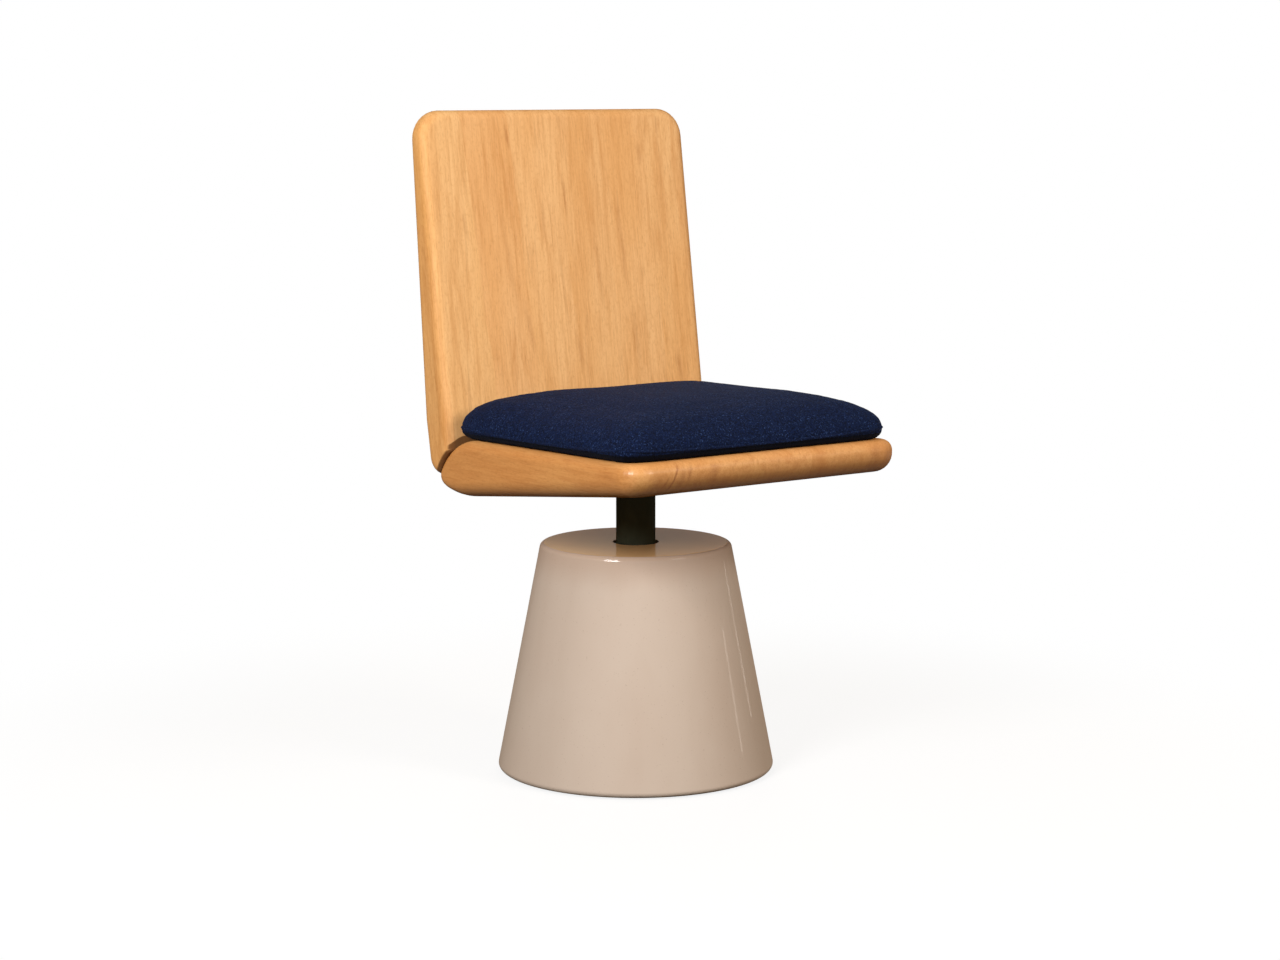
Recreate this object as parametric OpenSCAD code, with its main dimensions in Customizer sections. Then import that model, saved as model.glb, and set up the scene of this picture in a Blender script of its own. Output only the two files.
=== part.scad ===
/* [Pedestal] */
// Diameter of the pedestal near the floor
base_d = 338; // [300:1:400]
// Diameter of the pedestal at its flat top
base_top_d = 235; // [190:1:260]
// Height of the ceramic shell
base_h = 279; // [220:1:320]
// Wall of the ceramic shell
base_wall = 9; // [7:0.5:12]
// Thickness of the shell's flat top
base_top_t = 13; // [10:0.5:18]
// Rounding of the shell's top edge
base_top_r = 6.5; // [4:0.5:9]
// Rounding of the shell's bottom edge
base_foot_r = 6; // [3:0.5:8.5]
// Gap between the shell and the floor
foot_gap = 2; // [1:0.5:5]

/* [Pedestal inside] */
// Width of the rim that stands inwards from the shell's wall
rim_w = 28; // [24:1:34]
// Thickness of the rim
rim_t = 15; // [13:1:20]
// Thickness of the gasket between rim and plate
gasket_t = 2; // [1:0.5:3]
// Thickness of the steel plate
plate_t = 8; // [6:1:10]
// Gap between the plate's edge and the shell's wall
plate_gap = 4; // [3:0.5:8]
// Number of screws through the plate into the rim
rim_screws = 6; // [4:1:8]
// Number of rubber feet
glide_count = 6; // [4:1:8]
// Diameter of a rubber foot
glide_d = 36; // [28:1:44]
// Height of a rubber foot
glide_h = 8; // [7:1:12]
// Distance of the feet from the axis
glide_at = 112; // [95:1:116]

/* [Swivel] */
// Outer diameter of the post
post_d = 48; // [44:0.5:54]
// Wall of the post
post_wall = 3; // [2:0.5:4]
// Gap round the post in the hole of the shell
neck_gap = 4.25; // [3:0.25:6]
// Diameter of the spindle
spindle_d = 30; // [24:1:32]
// Diameter of the spindle's flange
flange_d = 112; // [104:1:124]
// Thickness of the spindle's flange
flange_t = 10; // [8:1:14]
// Height of the hub above the flange
hub_h = 24; // [16:1:36]
// Radial running clearance in the bushes
run_gap = 0.05; // [0.02:0.01:0.1]
// Thickness of the thrust washer
thrust_t = 3; // [2:0.5:4]
// Length of a bush inside the post
bush_l = 30; // [20:1:36]
// Flange thickness of the lower bush
bush_flange_t = 4; // [3:0.5:6]
// Height of the top of the upper bush above the shell
bush_rise = 34; // [20:1:36]

/* [Seat] */
// Width of seat and back
seat_w = 400; // [360:5:440]
// Distance from the post's axis to the front edge
seat_front = 260; // [230:5:290]
// Height of the seat's top at its front edge
seat_h = 417.7; // [412:0.1:440]
// Thickness at the front edge
seat_t = 36; // [36:0.5:42]
// Fall of the top face towards the back, in degrees
seat_fall = 0.9; // [0:0.1:2]
// Fall of the underside towards the back, in degrees
under_fall = 6.5; // [5.5:0.1:7]
// Rounding of the upper edges
seat_top_r = 12.5; // [8:0.5:13]
// Rounding of the lower edges
seat_under_r = 23; // [18:0.5:23]
// Radius of the front corners in plan
seat_corner_r = 30; // [26:1:45]

/* [Corner joint] */
// Distance from the post's axis to where the rear end starts to roll over
roll_start = 60; // [50:1:70]
// Radius of the rolled rear end, which is also the radius of the cope in the back
roll_r = 85; // [80:1:90]
// Angle over which the rear end rolls, in degrees
roll_turn = 58; // [54:1:62]
// Radius of the nose that ends the roll
nose_r = 14.5; // [13:0.5:16]
// Radius of the heel under the rear end
heel_r = 100; // [80:1:115]
// Depth of the groove that shows between seat and back at the sides
groove = 6.5; // [3:0.5:8]
// Direction of the joint's bolts and dowels above the horizontal, in degrees
bolt_tilt = 42; // [38:1:46]
// Distance between the outer bolts
bolt_span = 300; // [270:5:310]
// Distance between the inner bolts
bolt_inner_span = 150; // [150:5:180]
// Distance between the outer dowels
dowel_span = 224; // [210:2:236]

/* [Back] */
// Height of the top of the back above the floor
back_h = 802; // [720:1:860]
// Distance from the post's axis to the front of the back, level with the seat
back_at = 111.5; // [106:0.5:116]
// Thickness of the back at the level of the seat
back_t = 52.5; // [50:0.5:56]
// Thickness of the back at its top
back_top_t = 26.4; // [26:0.1:34]
// Lean of the back's front face, in degrees
lean = 8.2; // [5:0.1:11]
// Rounding of the back's edges
back_r = 12.8; // [8:0.1:12.8]
// Radius of the back's upper corners
back_corner_r = 35; // [20:1:50]
// Radius of the foot behind the joint
foot_r = 22; // [18:1:24]
// How far the foot has drawn in from the rear face
foot_in = 8.5; // [6:0.5:10]
// Height above the seat's top at which the rear face starts to round into the foot
foot_top = 20; // [0:1:40]
// Depth of the foot below the seat's top
foot_drop = 48; // [44:0.5:50]

/* [Cushion] */
// Width of the pad at its seam
pad_w = 398; // [350:2:398]
// Depth of the pad at its seam
pad_l = 362; // [330:2:364]
// Height of the crown above the seat
pad_h = 60; // [40:1:80]
// Height of the seam above the seat
seam_h = 7.5; // [6:0.5:16]
// Extra lift of the seam at the corners
seam_lift = 2; // [0:0.5:8]
// How far the sides draw in between the corners
draw_in = 4; // [0:0.5:12]
// How far the underside tucks in below the seam
tuck = 6; // [4:1:20]
// Gap between the pad and the back
pad_gap = 1.5; // [1:0.5:8]

/* [Hidden] */

// Overrun of a cut past the face that it opens, the break of a sharp edge, the room left below a
// screw's tip, and the facets of the round forms
over = 1;
edge_break = 1;
tip_gap = 1;
fine = 96;
soft = 32;

// Clearances shared by the hardware
touch = 0.05;
shank_gap = 0.2;
seat_gap = 0.3;

// Hardware sizes: shank, head and depth of each kind of screw
rim_screw_d = 6;
rim_screw_head_d = 12;
rim_screw_head_h = 3.3;
rim_insert_d = 9;
rim_insert_l = 10;
stud_d = 8;
stud_sink = 4;
flange_bolt_d = 8;
flange_bolt_head_d = 13;
flange_bolt_head_h = 5.5;
flange_bolt_count = 4;
top_bolt_d = 10;
top_bolt_l = 25;
top_bolt_head_d = 16;
top_bolt_head_h = 8;
top_washer_t = 4;
top_washer_gap = 0.5;
key_share = 0.5;
key_depth_share = 0.55;

// Levels from the floor upwards
plate_z = glide_h;
gasket_z = plate_z + plate_t;
rim_z = gasket_z + gasket_t;
flange_z = gasket_z;
hub_z = flange_z + flange_t;
thrust_z = hub_z + hub_h;
turn_z = thrust_z + thrust_t;
tube_z = turn_z + touch + bush_flange_t;
shell_top = foot_gap + base_h;
bush_top = shell_top + bush_rise;
spindle_top = bush_top + seat_gap;

// Radii
base_r = base_d / 2;
post_r = post_d / 2;
bore_r = post_r - post_wall;
neck_r = post_r + neck_gap;
hub_ledge = 3;
hub_r = post_r + hub_ledge;
foot_z = foot_gap + base_foot_r;
brow_z = shell_top - base_top_r;
side_slope = (base_r - base_top_d / 2) / (brow_z - foot_z);
side_lean = atan(side_slope);
function side_r(z) = base_r - side_slope * (z - foot_z);
plate_r = side_r(plate_z) - base_wall - plate_gap;
rim_screw_at = plate_r - rim_screw_head_d;
flange_bolt_at = (hub_r + flange_d / 2) / 2;

// The seat's faces, as heights at a distance y behind the post's axis
function seat_top(y) = seat_h - tan(seat_fall) * (y + seat_front);
function seat_under(y) = seat_h - seat_t - tan(under_fall) * (y + seat_front);
roll_y = roll_start;
roll_z = seat_top(roll_start) - roll_r;

// The nose touches the roll from inside, and the heel touches the nose and the underside
nose_y = roll_y + (roll_r - nose_r) * sin(roll_turn);
nose_z = roll_z + (roll_r - nose_r) * cos(roll_turn);
nose_over = (nose_z - seat_under(nose_y)) * cos(under_fall);
heel_back = sqrt(pow(heel_r - nose_r, 2) - pow(heel_r - nose_over, 2));
heel_y = nose_y - heel_back * cos(under_fall) + (heel_r - nose_over) * sin(under_fall);
heel_z = nose_z + heel_back * sin(under_fall) + (heel_r - nose_over) * cos(under_fall);
heel_turn = atan2(nose_z - heel_z, nose_y - heel_y);

// Along the heel the edge narrows from the underside's rounding to that of the nose
heel_steps = 9;
function heel_angle(i) = -90 - under_fall + (heel_turn + 90 + under_fall) * i / heel_steps;
function heel_edge(i) = seat_under_r + (seat_top_r - seat_under_r) * i / (heel_steps - 1);

// The back's faces, as distances behind the post's axis at a height z
back_foot_z = seat_top(roll_start) - foot_drop;
function back_front(z) = back_at + tan(lean) * (z - seat_top(back_at));
function back_depth(z) = back_t + (back_top_t - back_t) * (z - seat_top(back_at))
    / (back_h - seat_top(back_at));

// The joint's hardware lies on lines through the axis of the roll
bolt_d = 8;
bolt_head_d = 13;
bolt_head_h = 8;
bolt_grip = 38;
bolt_reach = 22;
bolt_washer_d = 18;
bolt_washer_t = 1.6;
joint_insert_d = 13;
joint_insert_l = 26;
dowel_d = 12;
dowel_l = 60;
plug_d = 19;
plug_gap = 1;
bolt_xs = [-bolt_span / 2, -bolt_inner_span / 2, bolt_inner_span / 2, bolt_span / 2];
dowel_xs = [-dowel_span / 2, 0, dowel_span / 2];
plug_at = bolt_grip + bolt_washer_t + bolt_head_h + plug_gap;

// The plate under the seat lies in the plane of the seat's underside
seat_plate_d = 150;
seat_plate_t = 6;
seat_screw_count = 6;
seat_screw_at = 60;
seat_screw_d = 6;
seat_screw_l = 18;
seat_screw_head_d = 12;
seat_screw_head_h = 3.5;
seat_insert_d = 9;
seat_insert_l = 16;

// The pad: its middle, the points round it, and its rings as shares of the seam's outline and of
// the height over or under the seam
pad_y = back_front(seat_top(back_at) + seam_h) - pad_gap - pad_l / 2;
pad_side_points = 16;
corner_power = 12;
crown_shares = [0.97, 0.92, 0.84, 0.74, 0.6, 0.44, 0.26];
crown_power = 3.3;
under_share = 0.4;
under_drop_share = 0.7;

module on_circle(count, radius) {
    for (i = [0:count - 1])
        rotate([0, 0, (i + 0.5) * 360 / count])
            translate([radius, 0, 0])
                children();
}

// A ring that stands on z, from the inner to the outer radius
module ring(inner, outer, height) {
    difference() {
        cylinder(r = outer, h = height, $fn = fine);
        translate([0, 0, -over])
            cylinder(r = inner, h = height + 2 * over, $fn = fine);
    }
}

// Places its children on a line through the roll's axis, pointing from the seat up into the back,
// with zero on the surface where seat and back meet
module on_joint(xs) {
    for (x = xs)
        translate([x, roll_y, roll_z])
            rotate([-(90 - bolt_tilt), 0, 0])
                translate([0, 0, roll_r])
                    children();
}

// Places its children in the plane of the seat's underside, centred on the post
module under_seat() {
    translate([0, 0, seat_under(0)])
        rotate([-under_fall, 0, 0])
            children();
}

// A screw whose head's top is at zero and whose shank runs down, with a hexagon socket
module socket_screw(shank_d, shank_l, head_d, head_h) {
    difference() {
        union() {
            translate([0, 0, -head_h])
                cylinder(d = head_d, h = head_h, $fn = fine);
            translate([0, 0, -head_h - shank_l])
                cylinder(d = shank_d, h = shank_l + head_h / 2, $fn = fine);
        }
        translate([0, 0, -head_h * key_depth_share])
            cylinder(d = head_d * key_share, h = head_h, $fn = 6);
    }
}

// Outline of the shell's wall from the foot to the top edge, then back down inside
function arc(cx, cz, r, from, to, steps) =
    [for (i = [0:steps]) let (a = from + (to - from) * i / steps) [cx + r * cos(a), cz + r * sin(a)]];
edge_steps = 8;
function shell_outline() = concat(
    [[side_r(foot_gap) - base_wall, foot_gap]],
    arc(side_r(foot_z) - base_foot_r / cos(side_lean), foot_z, base_foot_r, -90, side_lean,
        edge_steps),
    arc(side_r(brow_z) - base_top_r / cos(side_lean), brow_z, base_top_r, side_lean, 90,
        edge_steps),
    [[neck_r, shell_top],
        [neck_r, shell_top - base_top_t],
        [side_r(shell_top - base_top_t) - base_wall, shell_top - base_top_t],
        [side_r(rim_z + rim_t) - base_wall, rim_z + rim_t],
        [side_r(rim_z) - base_wall - rim_w, rim_z + rim_t],
        [side_r(rim_z) - base_wall - rim_w, rim_z],
        [side_r(rim_z) - base_wall, rim_z]]);

module base_shell() {
    color("#cdb6a3")
        difference() {
            rotate_extrude($fn = fine)
                polygon(shell_outline());
            on_circle(rim_screws, rim_screw_at)
                translate([0, 0, rim_z - over])
                    cylinder(d = rim_insert_d, h = rim_insert_l + over, $fn = fine);
        }
}

module rim_gasket() {
    color("#26282a")
        translate([0, 0, gasket_z])
            difference() {
                ring(side_r(rim_z) - base_wall - rim_w, plate_r, gasket_t);
                on_circle(rim_screws, rim_screw_at)
                    translate([0, 0, -over])
                        cylinder(d = rim_screw_d + shank_gap, h = gasket_t + 2 * over, $fn = fine);
            }
}

module rim_inserts() {
    color("#b9923f")
        on_circle(rim_screws, rim_screw_at)
            translate([0, 0, rim_z])
                ring(rim_screw_d / 2, rim_insert_d / 2, rim_insert_l);
}

module base_plate() {
    color("#6f7375")
        difference() {
            translate([0, 0, plate_z])
                cylinder(r = plate_r, h = plate_t, $fn = fine);
            on_circle(rim_screws, rim_screw_at) {
                translate([0, 0, plate_z - over])
                    cylinder(d = rim_screw_d + shank_gap, h = plate_t + 2 * over, $fn = fine);
                translate([0, 0, plate_z - over])
                    cylinder(d = rim_screw_head_d, h = rim_screw_head_h + over, $fn = fine);
            }
            on_circle(glide_count, glide_at)
                translate([0, 0, plate_z - over])
                    cylinder(d = stud_d, h = plate_t + 2 * over, $fn = fine);
            on_circle(flange_bolt_count, flange_bolt_at)
                translate([0, 0, plate_z - over])
                    cylinder(d = flange_bolt_d, h = plate_t + 2 * over, $fn = fine);
        }
}

module plate_screws() {
    color("#a9adb0")
        on_circle(rim_screws, rim_screw_at)
            translate([0, 0, plate_z])
                mirror([0, 0, 1])
                    socket_screw(rim_screw_d,
                        plate_t - rim_screw_head_h + gasket_t + rim_insert_l - tip_gap,
                        rim_screw_head_d, rim_screw_head_h);
}

module glides() {
    color("#1d1e1f")
        on_circle(glide_count, glide_at)
            difference() {
                rotate_extrude($fn = fine)
                    polygon([[0, 0], [glide_d / 2 - edge_break, 0], [glide_d / 2, edge_break],
                        [glide_d / 2 - edge_break, glide_h], [0, glide_h]]);
                translate([0, 0, stud_sink])
                    cylinder(d = stud_d, h = glide_h, $fn = fine);
            }
}

module glide_studs() {
    color("#a9adb0")
        on_circle(glide_count, glide_at)
            translate([0, 0, stud_sink])
                cylinder(d = stud_d, h = plate_z + plate_t - stud_sink, $fn = fine);
}

module spindle() {
    color("#9a9da0")
        difference() {
            rotate_extrude($fn = fine)
                polygon([[0, flange_z], [flange_d / 2, flange_z], [flange_d / 2, hub_z],
                    [hub_r, hub_z], [hub_r, thrust_z], [spindle_d / 2, thrust_z],
                    [spindle_d / 2, spindle_top - edge_break],
                    [spindle_d / 2 - edge_break, spindle_top],
                    [0, spindle_top]]);
            translate([0, 0, spindle_top - top_bolt_l])
                cylinder(d = top_bolt_d, h = top_bolt_l + over, $fn = fine);
            on_circle(flange_bolt_count, flange_bolt_at)
                translate([0, 0, flange_z - over])
                    cylinder(d = flange_bolt_d + shank_gap, h = flange_t + 2 * over, $fn = fine);
        }
}

module flange_bolts() {
    color("#a9adb0")
        on_circle(flange_bolt_count, flange_bolt_at)
            translate([0, 0, hub_z + flange_bolt_head_h])
                socket_screw(flange_bolt_d, flange_t + plate_t, flange_bolt_head_d,
                    flange_bolt_head_h);
}

module thrust_washer() {
    color("#b08d4a")
        translate([0, 0, thrust_z])
            ring(spindle_d / 2 + run_gap, post_r, thrust_t);
}

module lower_bush() {
    color("#e8e6df")
        translate([0, 0, turn_z + touch])
            difference() {
                union() {
                    cylinder(r = post_r, h = bush_flange_t, $fn = fine);
                    cylinder(r = bore_r, h = bush_flange_t + bush_l, $fn = fine);
                }
                translate([0, 0, -over])
                    cylinder(r = spindle_d / 2 + run_gap, h = bush_flange_t + bush_l + 2 * over,
                        $fn = fine);
            }
}

module upper_bush() {
    color("#e8e6df")
        translate([0, 0, bush_top - bush_l])
            ring(spindle_d / 2 + run_gap, bore_r, bush_l);
}

module retaining_washer() {
    color("#a9adb0")
        translate([0, 0, spindle_top])
            ring(top_bolt_d / 2 + shank_gap, bore_r - top_washer_gap, top_washer_t);
}

module retaining_bolt() {
    color("#a9adb0")
        translate([0, 0, spindle_top + top_washer_t + top_bolt_head_h])
            socket_screw(top_bolt_d, top_washer_t + top_bolt_l - tip_gap, top_bolt_head_d,
                top_bolt_head_h);
}

module post_tube() {
    color("#1b1b1a")
        difference() {
            translate([0, 0, tube_z])
                cylinder(r = post_r, h = seat_h - tube_z, $fn = fine);
            translate([0, 0, tube_z - over])
                cylinder(r = bore_r, h = seat_h, $fn = fine);
            under_seat()
                translate([-seat_w / 2, -seat_front, 0])
                    cube([seat_w, 2 * seat_front, seat_h]);
        }
}

module seat_plate() {
    color("#1b1b1a")
        under_seat()
            difference() {
                cylinder(d = seat_plate_d, h = seat_plate_t, $fn = fine);
                translate([0, 0, -over])
                    cylinder(r = bore_r, h = seat_plate_t + 2 * over, $fn = fine);
                on_circle(seat_screw_count, seat_screw_at)
                    translate([0, 0, -over])
                        cylinder(d = seat_screw_d + shank_gap, h = seat_plate_t + 2 * over,
                            $fn = fine);
            }
}

module seat_inserts() {
    color("#b9923f")
        under_seat()
            on_circle(seat_screw_count, seat_screw_at)
                translate([0, 0, seat_plate_t])
                    ring(seat_screw_d / 2, seat_insert_d / 2, seat_insert_l);
}

module seat_screws() {
    color("#a9adb0")
        under_seat()
            on_circle(seat_screw_count, seat_screw_at)
                translate([0, 0, -seat_screw_head_h])
                    mirror([0, 0, 1])
                        socket_screw(seat_screw_d, seat_screw_l, seat_screw_head_d,
                            seat_screw_head_h);
}

// Section of a rounded edge: a disc at a distance from the axis that it turns about, kept to the
// outer side of that axis, and to its lower half where another edge lies above it
module edge_disc(at, r, upper = true) {
    intersection() {
        translate([at, 0])
            circle(r = r, $fn = soft);
        translate([0, -r])
            square([at + r, upper ? 2 * r : r]);
    }
}

// A rounded edge that turns about a line along X, from one angle to another in the YZ plane,
// where zero points backwards and 90 degrees points up
module turned_edge(y, z, r, edge_r, from, to) {
    translate([seat_w / 2 - edge_r, y, z])
        rotate([90, 0, 90])
            rotate([0, 0, from])
                rotate_extrude(angle = to - from, $fn = fine)
                    edge_disc(r - edge_r, edge_r);
}

// The soft edges of one half of the seat: front corner, rolled rear end, nose and heel
module seat_half() {
    corner_y = seat_corner_r - seat_front;
    translate([seat_w / 2 - seat_corner_r, corner_y, seat_top(corner_y) - seat_top_r])
        rotate([-seat_fall, 0, 0])
            rotate_extrude($fn = soft)
                edge_disc(seat_corner_r - seat_top_r, seat_top_r);
    translate([seat_w / 2 - seat_corner_r, corner_y, seat_under(corner_y) + seat_under_r])
        rotate([-under_fall, 0, 0])
            rotate_extrude($fn = soft)
                edge_disc(seat_corner_r - seat_under_r, seat_under_r, upper = false);
    turned_edge(roll_y, roll_z, roll_r, seat_top_r, 90 - roll_turn, 90 - seat_fall);
    turned_edge(nose_y, nose_z, nose_r, seat_top_r, heel_turn, 90 - roll_turn);
    for (i = [0:heel_steps - 1])
        turned_edge(heel_y, heel_z, heel_r, heel_edge(i), heel_angle(i), heel_angle(i + 1));
}

// Everything below the seat's underside
module below_seat() {
    under_seat()
        translate([-seat_w, -2 * seat_front, -seat_h])
            cube([2 * seat_w, 4 * seat_front, seat_h]);
}

module seat_panel() {
    color("#c8904f")
        difference() {
            hull() {
                seat_half();
                mirror([1, 0, 0])
                    seat_half();
            }
            under_seat() {
                translate([0, 0, -seat_under_r])
                    cylinder(d = seat_plate_d + 2 * shank_gap, h = seat_under_r + seat_plate_t,
                        $fn = fine);
                on_circle(seat_screw_count, seat_screw_at)
                    cylinder(d = seat_insert_d, h = seat_plate_t + seat_insert_l, $fn = fine);
            }
            on_joint(bolt_xs) {
                translate([0, 0, -bolt_grip])
                    cylinder(d = bolt_d + 2 * shank_gap, h = bolt_grip + roll_r, $fn = fine);
                translate([0, 0, -bolt_grip - roll_r])
                    cylinder(d = plug_d, h = roll_r, $fn = fine);
            }
            on_joint(dowel_xs)
                translate([0, 0, -dowel_l / 2])
                    cylinder(d = dowel_d, h = dowel_l, $fn = fine);
        }
}

// The hollow in the back's foot: the roll itself, flared at both sides into a soft groove
module cope() {
    half_w = seat_w / 2;
    flare = arc(roll_r + groove, half_w - groove, groove, 180, 90, edge_steps);
    profile = concat(flare, [[roll_r + groove, half_w + over], [0, half_w + over]]);
    translate([0, roll_y, roll_z])
        rotate([0, 90, 0])
            rotate_extrude($fn = 2 * fine)
                union() {
                    polygon(concat([[0, 0], [roll_r, 0]], profile));
                    mirror([0, 1])
                        polygon(concat([[0, 0], [roll_r, 0]], profile));
                }
}

// One upper corner of the back, rounded along the lean of the face that it belongs to
module back_corner(y, turn) {
    translate([seat_w / 2 - back_corner_r, y,
        back_h - back_r - (back_corner_r - back_r) * cos(turn)])
        rotate([90 - turn, 0, 0])
            rotate_extrude($fn = soft)
                edge_disc(back_corner_r - back_r, back_r);
}

module back_half() {
    corner_z = back_h - back_corner_r;
    low_z = back_foot_z + back_r;
    rear_z = seat_top(back_at) + foot_top;
    rear_y = back_front(rear_z) + back_depth(rear_z);
    rear_turn = atan((back_front(back_h) + back_top_t - rear_y) / (back_h - rear_z));
    back_corner(back_front(corner_z) + back_r / cos(lean), lean);
    back_corner(back_front(corner_z) + back_depth(corner_z) - back_r / cos(rear_turn), rear_turn);
    translate([seat_w / 2 - back_r, back_front(low_z) + back_r / cos(lean), low_z])
        rotate([90, 0, 90])
            sphere(r = back_r, $fn = soft);
    translate([seat_w / 2 - back_r, rear_y - back_r / cos(rear_turn), rear_z])
        sphere(r = back_r, $fn = soft);
    translate([seat_w / 2 - back_r, rear_y - foot_in - foot_r, back_foot_z + foot_r])
        rotate([90, 0, 90])
            rotate_extrude($fn = fine)
                edge_disc(foot_r - back_r, back_r);
}

module back_panel() {
    color("#cf9a5c")
        difference() {
            hull() {
                back_half();
                mirror([1, 0, 0])
                    back_half();
            }
            cope();
            on_joint(bolt_xs)
                translate([0, 0, -over])
                    cylinder(d = joint_insert_d, h = joint_insert_l + over, $fn = fine);
            on_joint(dowel_xs)
                translate([0, 0, -dowel_l / 2])
                    cylinder(d = dowel_d, h = dowel_l, $fn = fine);
        }
}

module joint_bolts() {
    color("#a9adb0")
        on_joint(bolt_xs)
            translate([0, 0, -bolt_grip - bolt_washer_t - bolt_head_h])
                mirror([0, 0, 1])
                    socket_screw(bolt_d, bolt_washer_t + bolt_grip + bolt_reach, bolt_head_d,
                        bolt_head_h);
}

module joint_washers() {
    color("#a9adb0")
        on_joint(bolt_xs)
            translate([0, 0, -bolt_grip - bolt_washer_t])
                ring(bolt_d / 2 + shank_gap, bolt_washer_d / 2, bolt_washer_t);
}

module joint_inserts() {
    color("#b9923f")
        on_joint(bolt_xs)
            translate([0, 0, seat_gap])
                ring(bolt_d / 2, joint_insert_d / 2, joint_insert_l - seat_gap);
}

module joint_dowels() {
    color("#d9b98a")
        on_joint(dowel_xs)
            translate([0, 0, -dowel_l / 2])
                cylinder(d = dowel_d, h = dowel_l, $fn = fine);
}

module joint_plugs() {
    color("#b9803f")
        difference() {
            on_joint(bolt_xs)
                translate([0, 0, -plug_at - roll_r])
                    cylinder(d = plug_d, h = roll_r, $fn = fine);
            below_seat();
        }
}

// A point of the pad's seam: side 0 to 3, and t from -1 to 1 along the side, with more points near
// the ends. The square's corners are rounded by corner_power, and its sides draw in between them.
function seam_unit(side, t) =
    let (s = pow(1 + pow(abs(t), corner_power), -1 / corner_power), u = s, v = s * t)
        side == 0 ? [u, v] : side == 1 ? [-v, u] : side == 2 ? [-u, -v] : [v, -u];
seam_units = [for (side = [0:3])
    for (i = [0:pad_side_points - 1])
        seam_unit(side, sin(90 * (2 * i / pad_side_points - 1)))];
function seam_point(p) = [p[0] * (pad_w / 2 - draw_in * (1 - p[1] * p[1])),
    p[1] * (pad_l / 2 - draw_in * (1 - p[0] * p[0]))];
function seam_rise(p) = seam_h + seam_lift * pow(p[0] * p[1], 2);
function ring_points(share, height_share, top) = [for (p = seam_units)
    let (q = seam_point(p), r = seam_rise(p))
        [q[0] * share, q[1] * share, r + (top - r) * height_share]];
tuck_share = 1 - 2 * tuck / pad_w;
pad_rings = concat(
    [ring_points(tuck_share, 1, 0)],
    [ring_points(1 + (tuck_share - 1) * under_share, under_drop_share, 0)],
    [ring_points(1, 0, 0)],
    [for (q = crown_shares) ring_points(q, sqrt(1 - pow(q, crown_power)), pad_h)]);
pad_count = len(seam_units);
pad_points = concat([for (r = pad_rings) each r], [[0, 0, 0], [0, 0, pad_h]]);
pad_last = len(pad_rings) - 1;
pad_faces = concat(
    [for (k = [0:pad_last - 1])
        for (i = [0:pad_count - 1])
            let (a = k * pad_count + i, b = k * pad_count + (i + 1) % pad_count)
                each [[a, a + pad_count, b], [b, a + pad_count, b + pad_count]]],
    [for (i = [0:pad_count - 1])
        [i, (i + 1) % pad_count, len(pad_points) - 2]],
    [for (i = [0:pad_count - 1])
        [pad_last * pad_count + (i + 1) % pad_count, pad_last * pad_count + i,
            len(pad_points) - 1]]);

module cushion_pad() {
    color("#232c4a")
        translate([0, pad_y, seat_top(pad_y) + seat_gap])
            rotate([-seat_fall, 0, 0])
                polyhedron(pad_points, pad_faces);
}

base_shell();
rim_gasket();
rim_inserts();
base_plate();
plate_screws();
glides();
glide_studs();
spindle();
flange_bolts();
thrust_washer();
lower_bush();
upper_bush();
retaining_washer();
retaining_bolt();
post_tube();
seat_plate();
seat_inserts();
seat_screws();
seat_panel();
joint_bolts();
joint_washers();
joint_inserts();
joint_dowels();
joint_plugs();
back_panel();
cushion_pad();
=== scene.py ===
import math

import bmesh
import bpy
from mathutils import Matrix, Vector, noise
from mathutils.bvhtree import BVHTree
from mathutils.kdtree import KDTree


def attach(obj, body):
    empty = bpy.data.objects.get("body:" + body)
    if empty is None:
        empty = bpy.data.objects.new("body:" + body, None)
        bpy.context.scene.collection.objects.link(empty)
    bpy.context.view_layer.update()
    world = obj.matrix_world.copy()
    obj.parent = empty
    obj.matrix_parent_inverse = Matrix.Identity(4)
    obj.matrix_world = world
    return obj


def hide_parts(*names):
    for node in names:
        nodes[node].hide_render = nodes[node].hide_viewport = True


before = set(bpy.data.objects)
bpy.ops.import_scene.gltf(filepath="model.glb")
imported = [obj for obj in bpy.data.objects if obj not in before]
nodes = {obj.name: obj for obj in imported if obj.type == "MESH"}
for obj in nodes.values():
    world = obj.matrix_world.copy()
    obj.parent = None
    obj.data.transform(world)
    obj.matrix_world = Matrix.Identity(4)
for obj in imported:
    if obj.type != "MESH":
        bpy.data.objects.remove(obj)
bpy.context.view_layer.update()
scene = bpy.context.scene
print("frame loaded:", len(nodes), "nodes")

seatFall = math.radians(0.9)            # the seat falls towards the back
backLean = math.radians(8.2)            # and the back leans away from it


def fromScreen(red, green, blue):
    # A colour as a screen shows it, 0 to 255, as the linear values that shaders take
    def linear(channel):
        share = channel / 255
        return share / 12.92 if share <= 0.04045 else ((share + 0.055) / 1.055) ** 2.4
    return (linear(red), linear(green), linear(blue), 1.0)


def toned(colour, share, lift=0.0):
    return tuple(level * share + lift for level in colour[:3]) + (1.0,)


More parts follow.
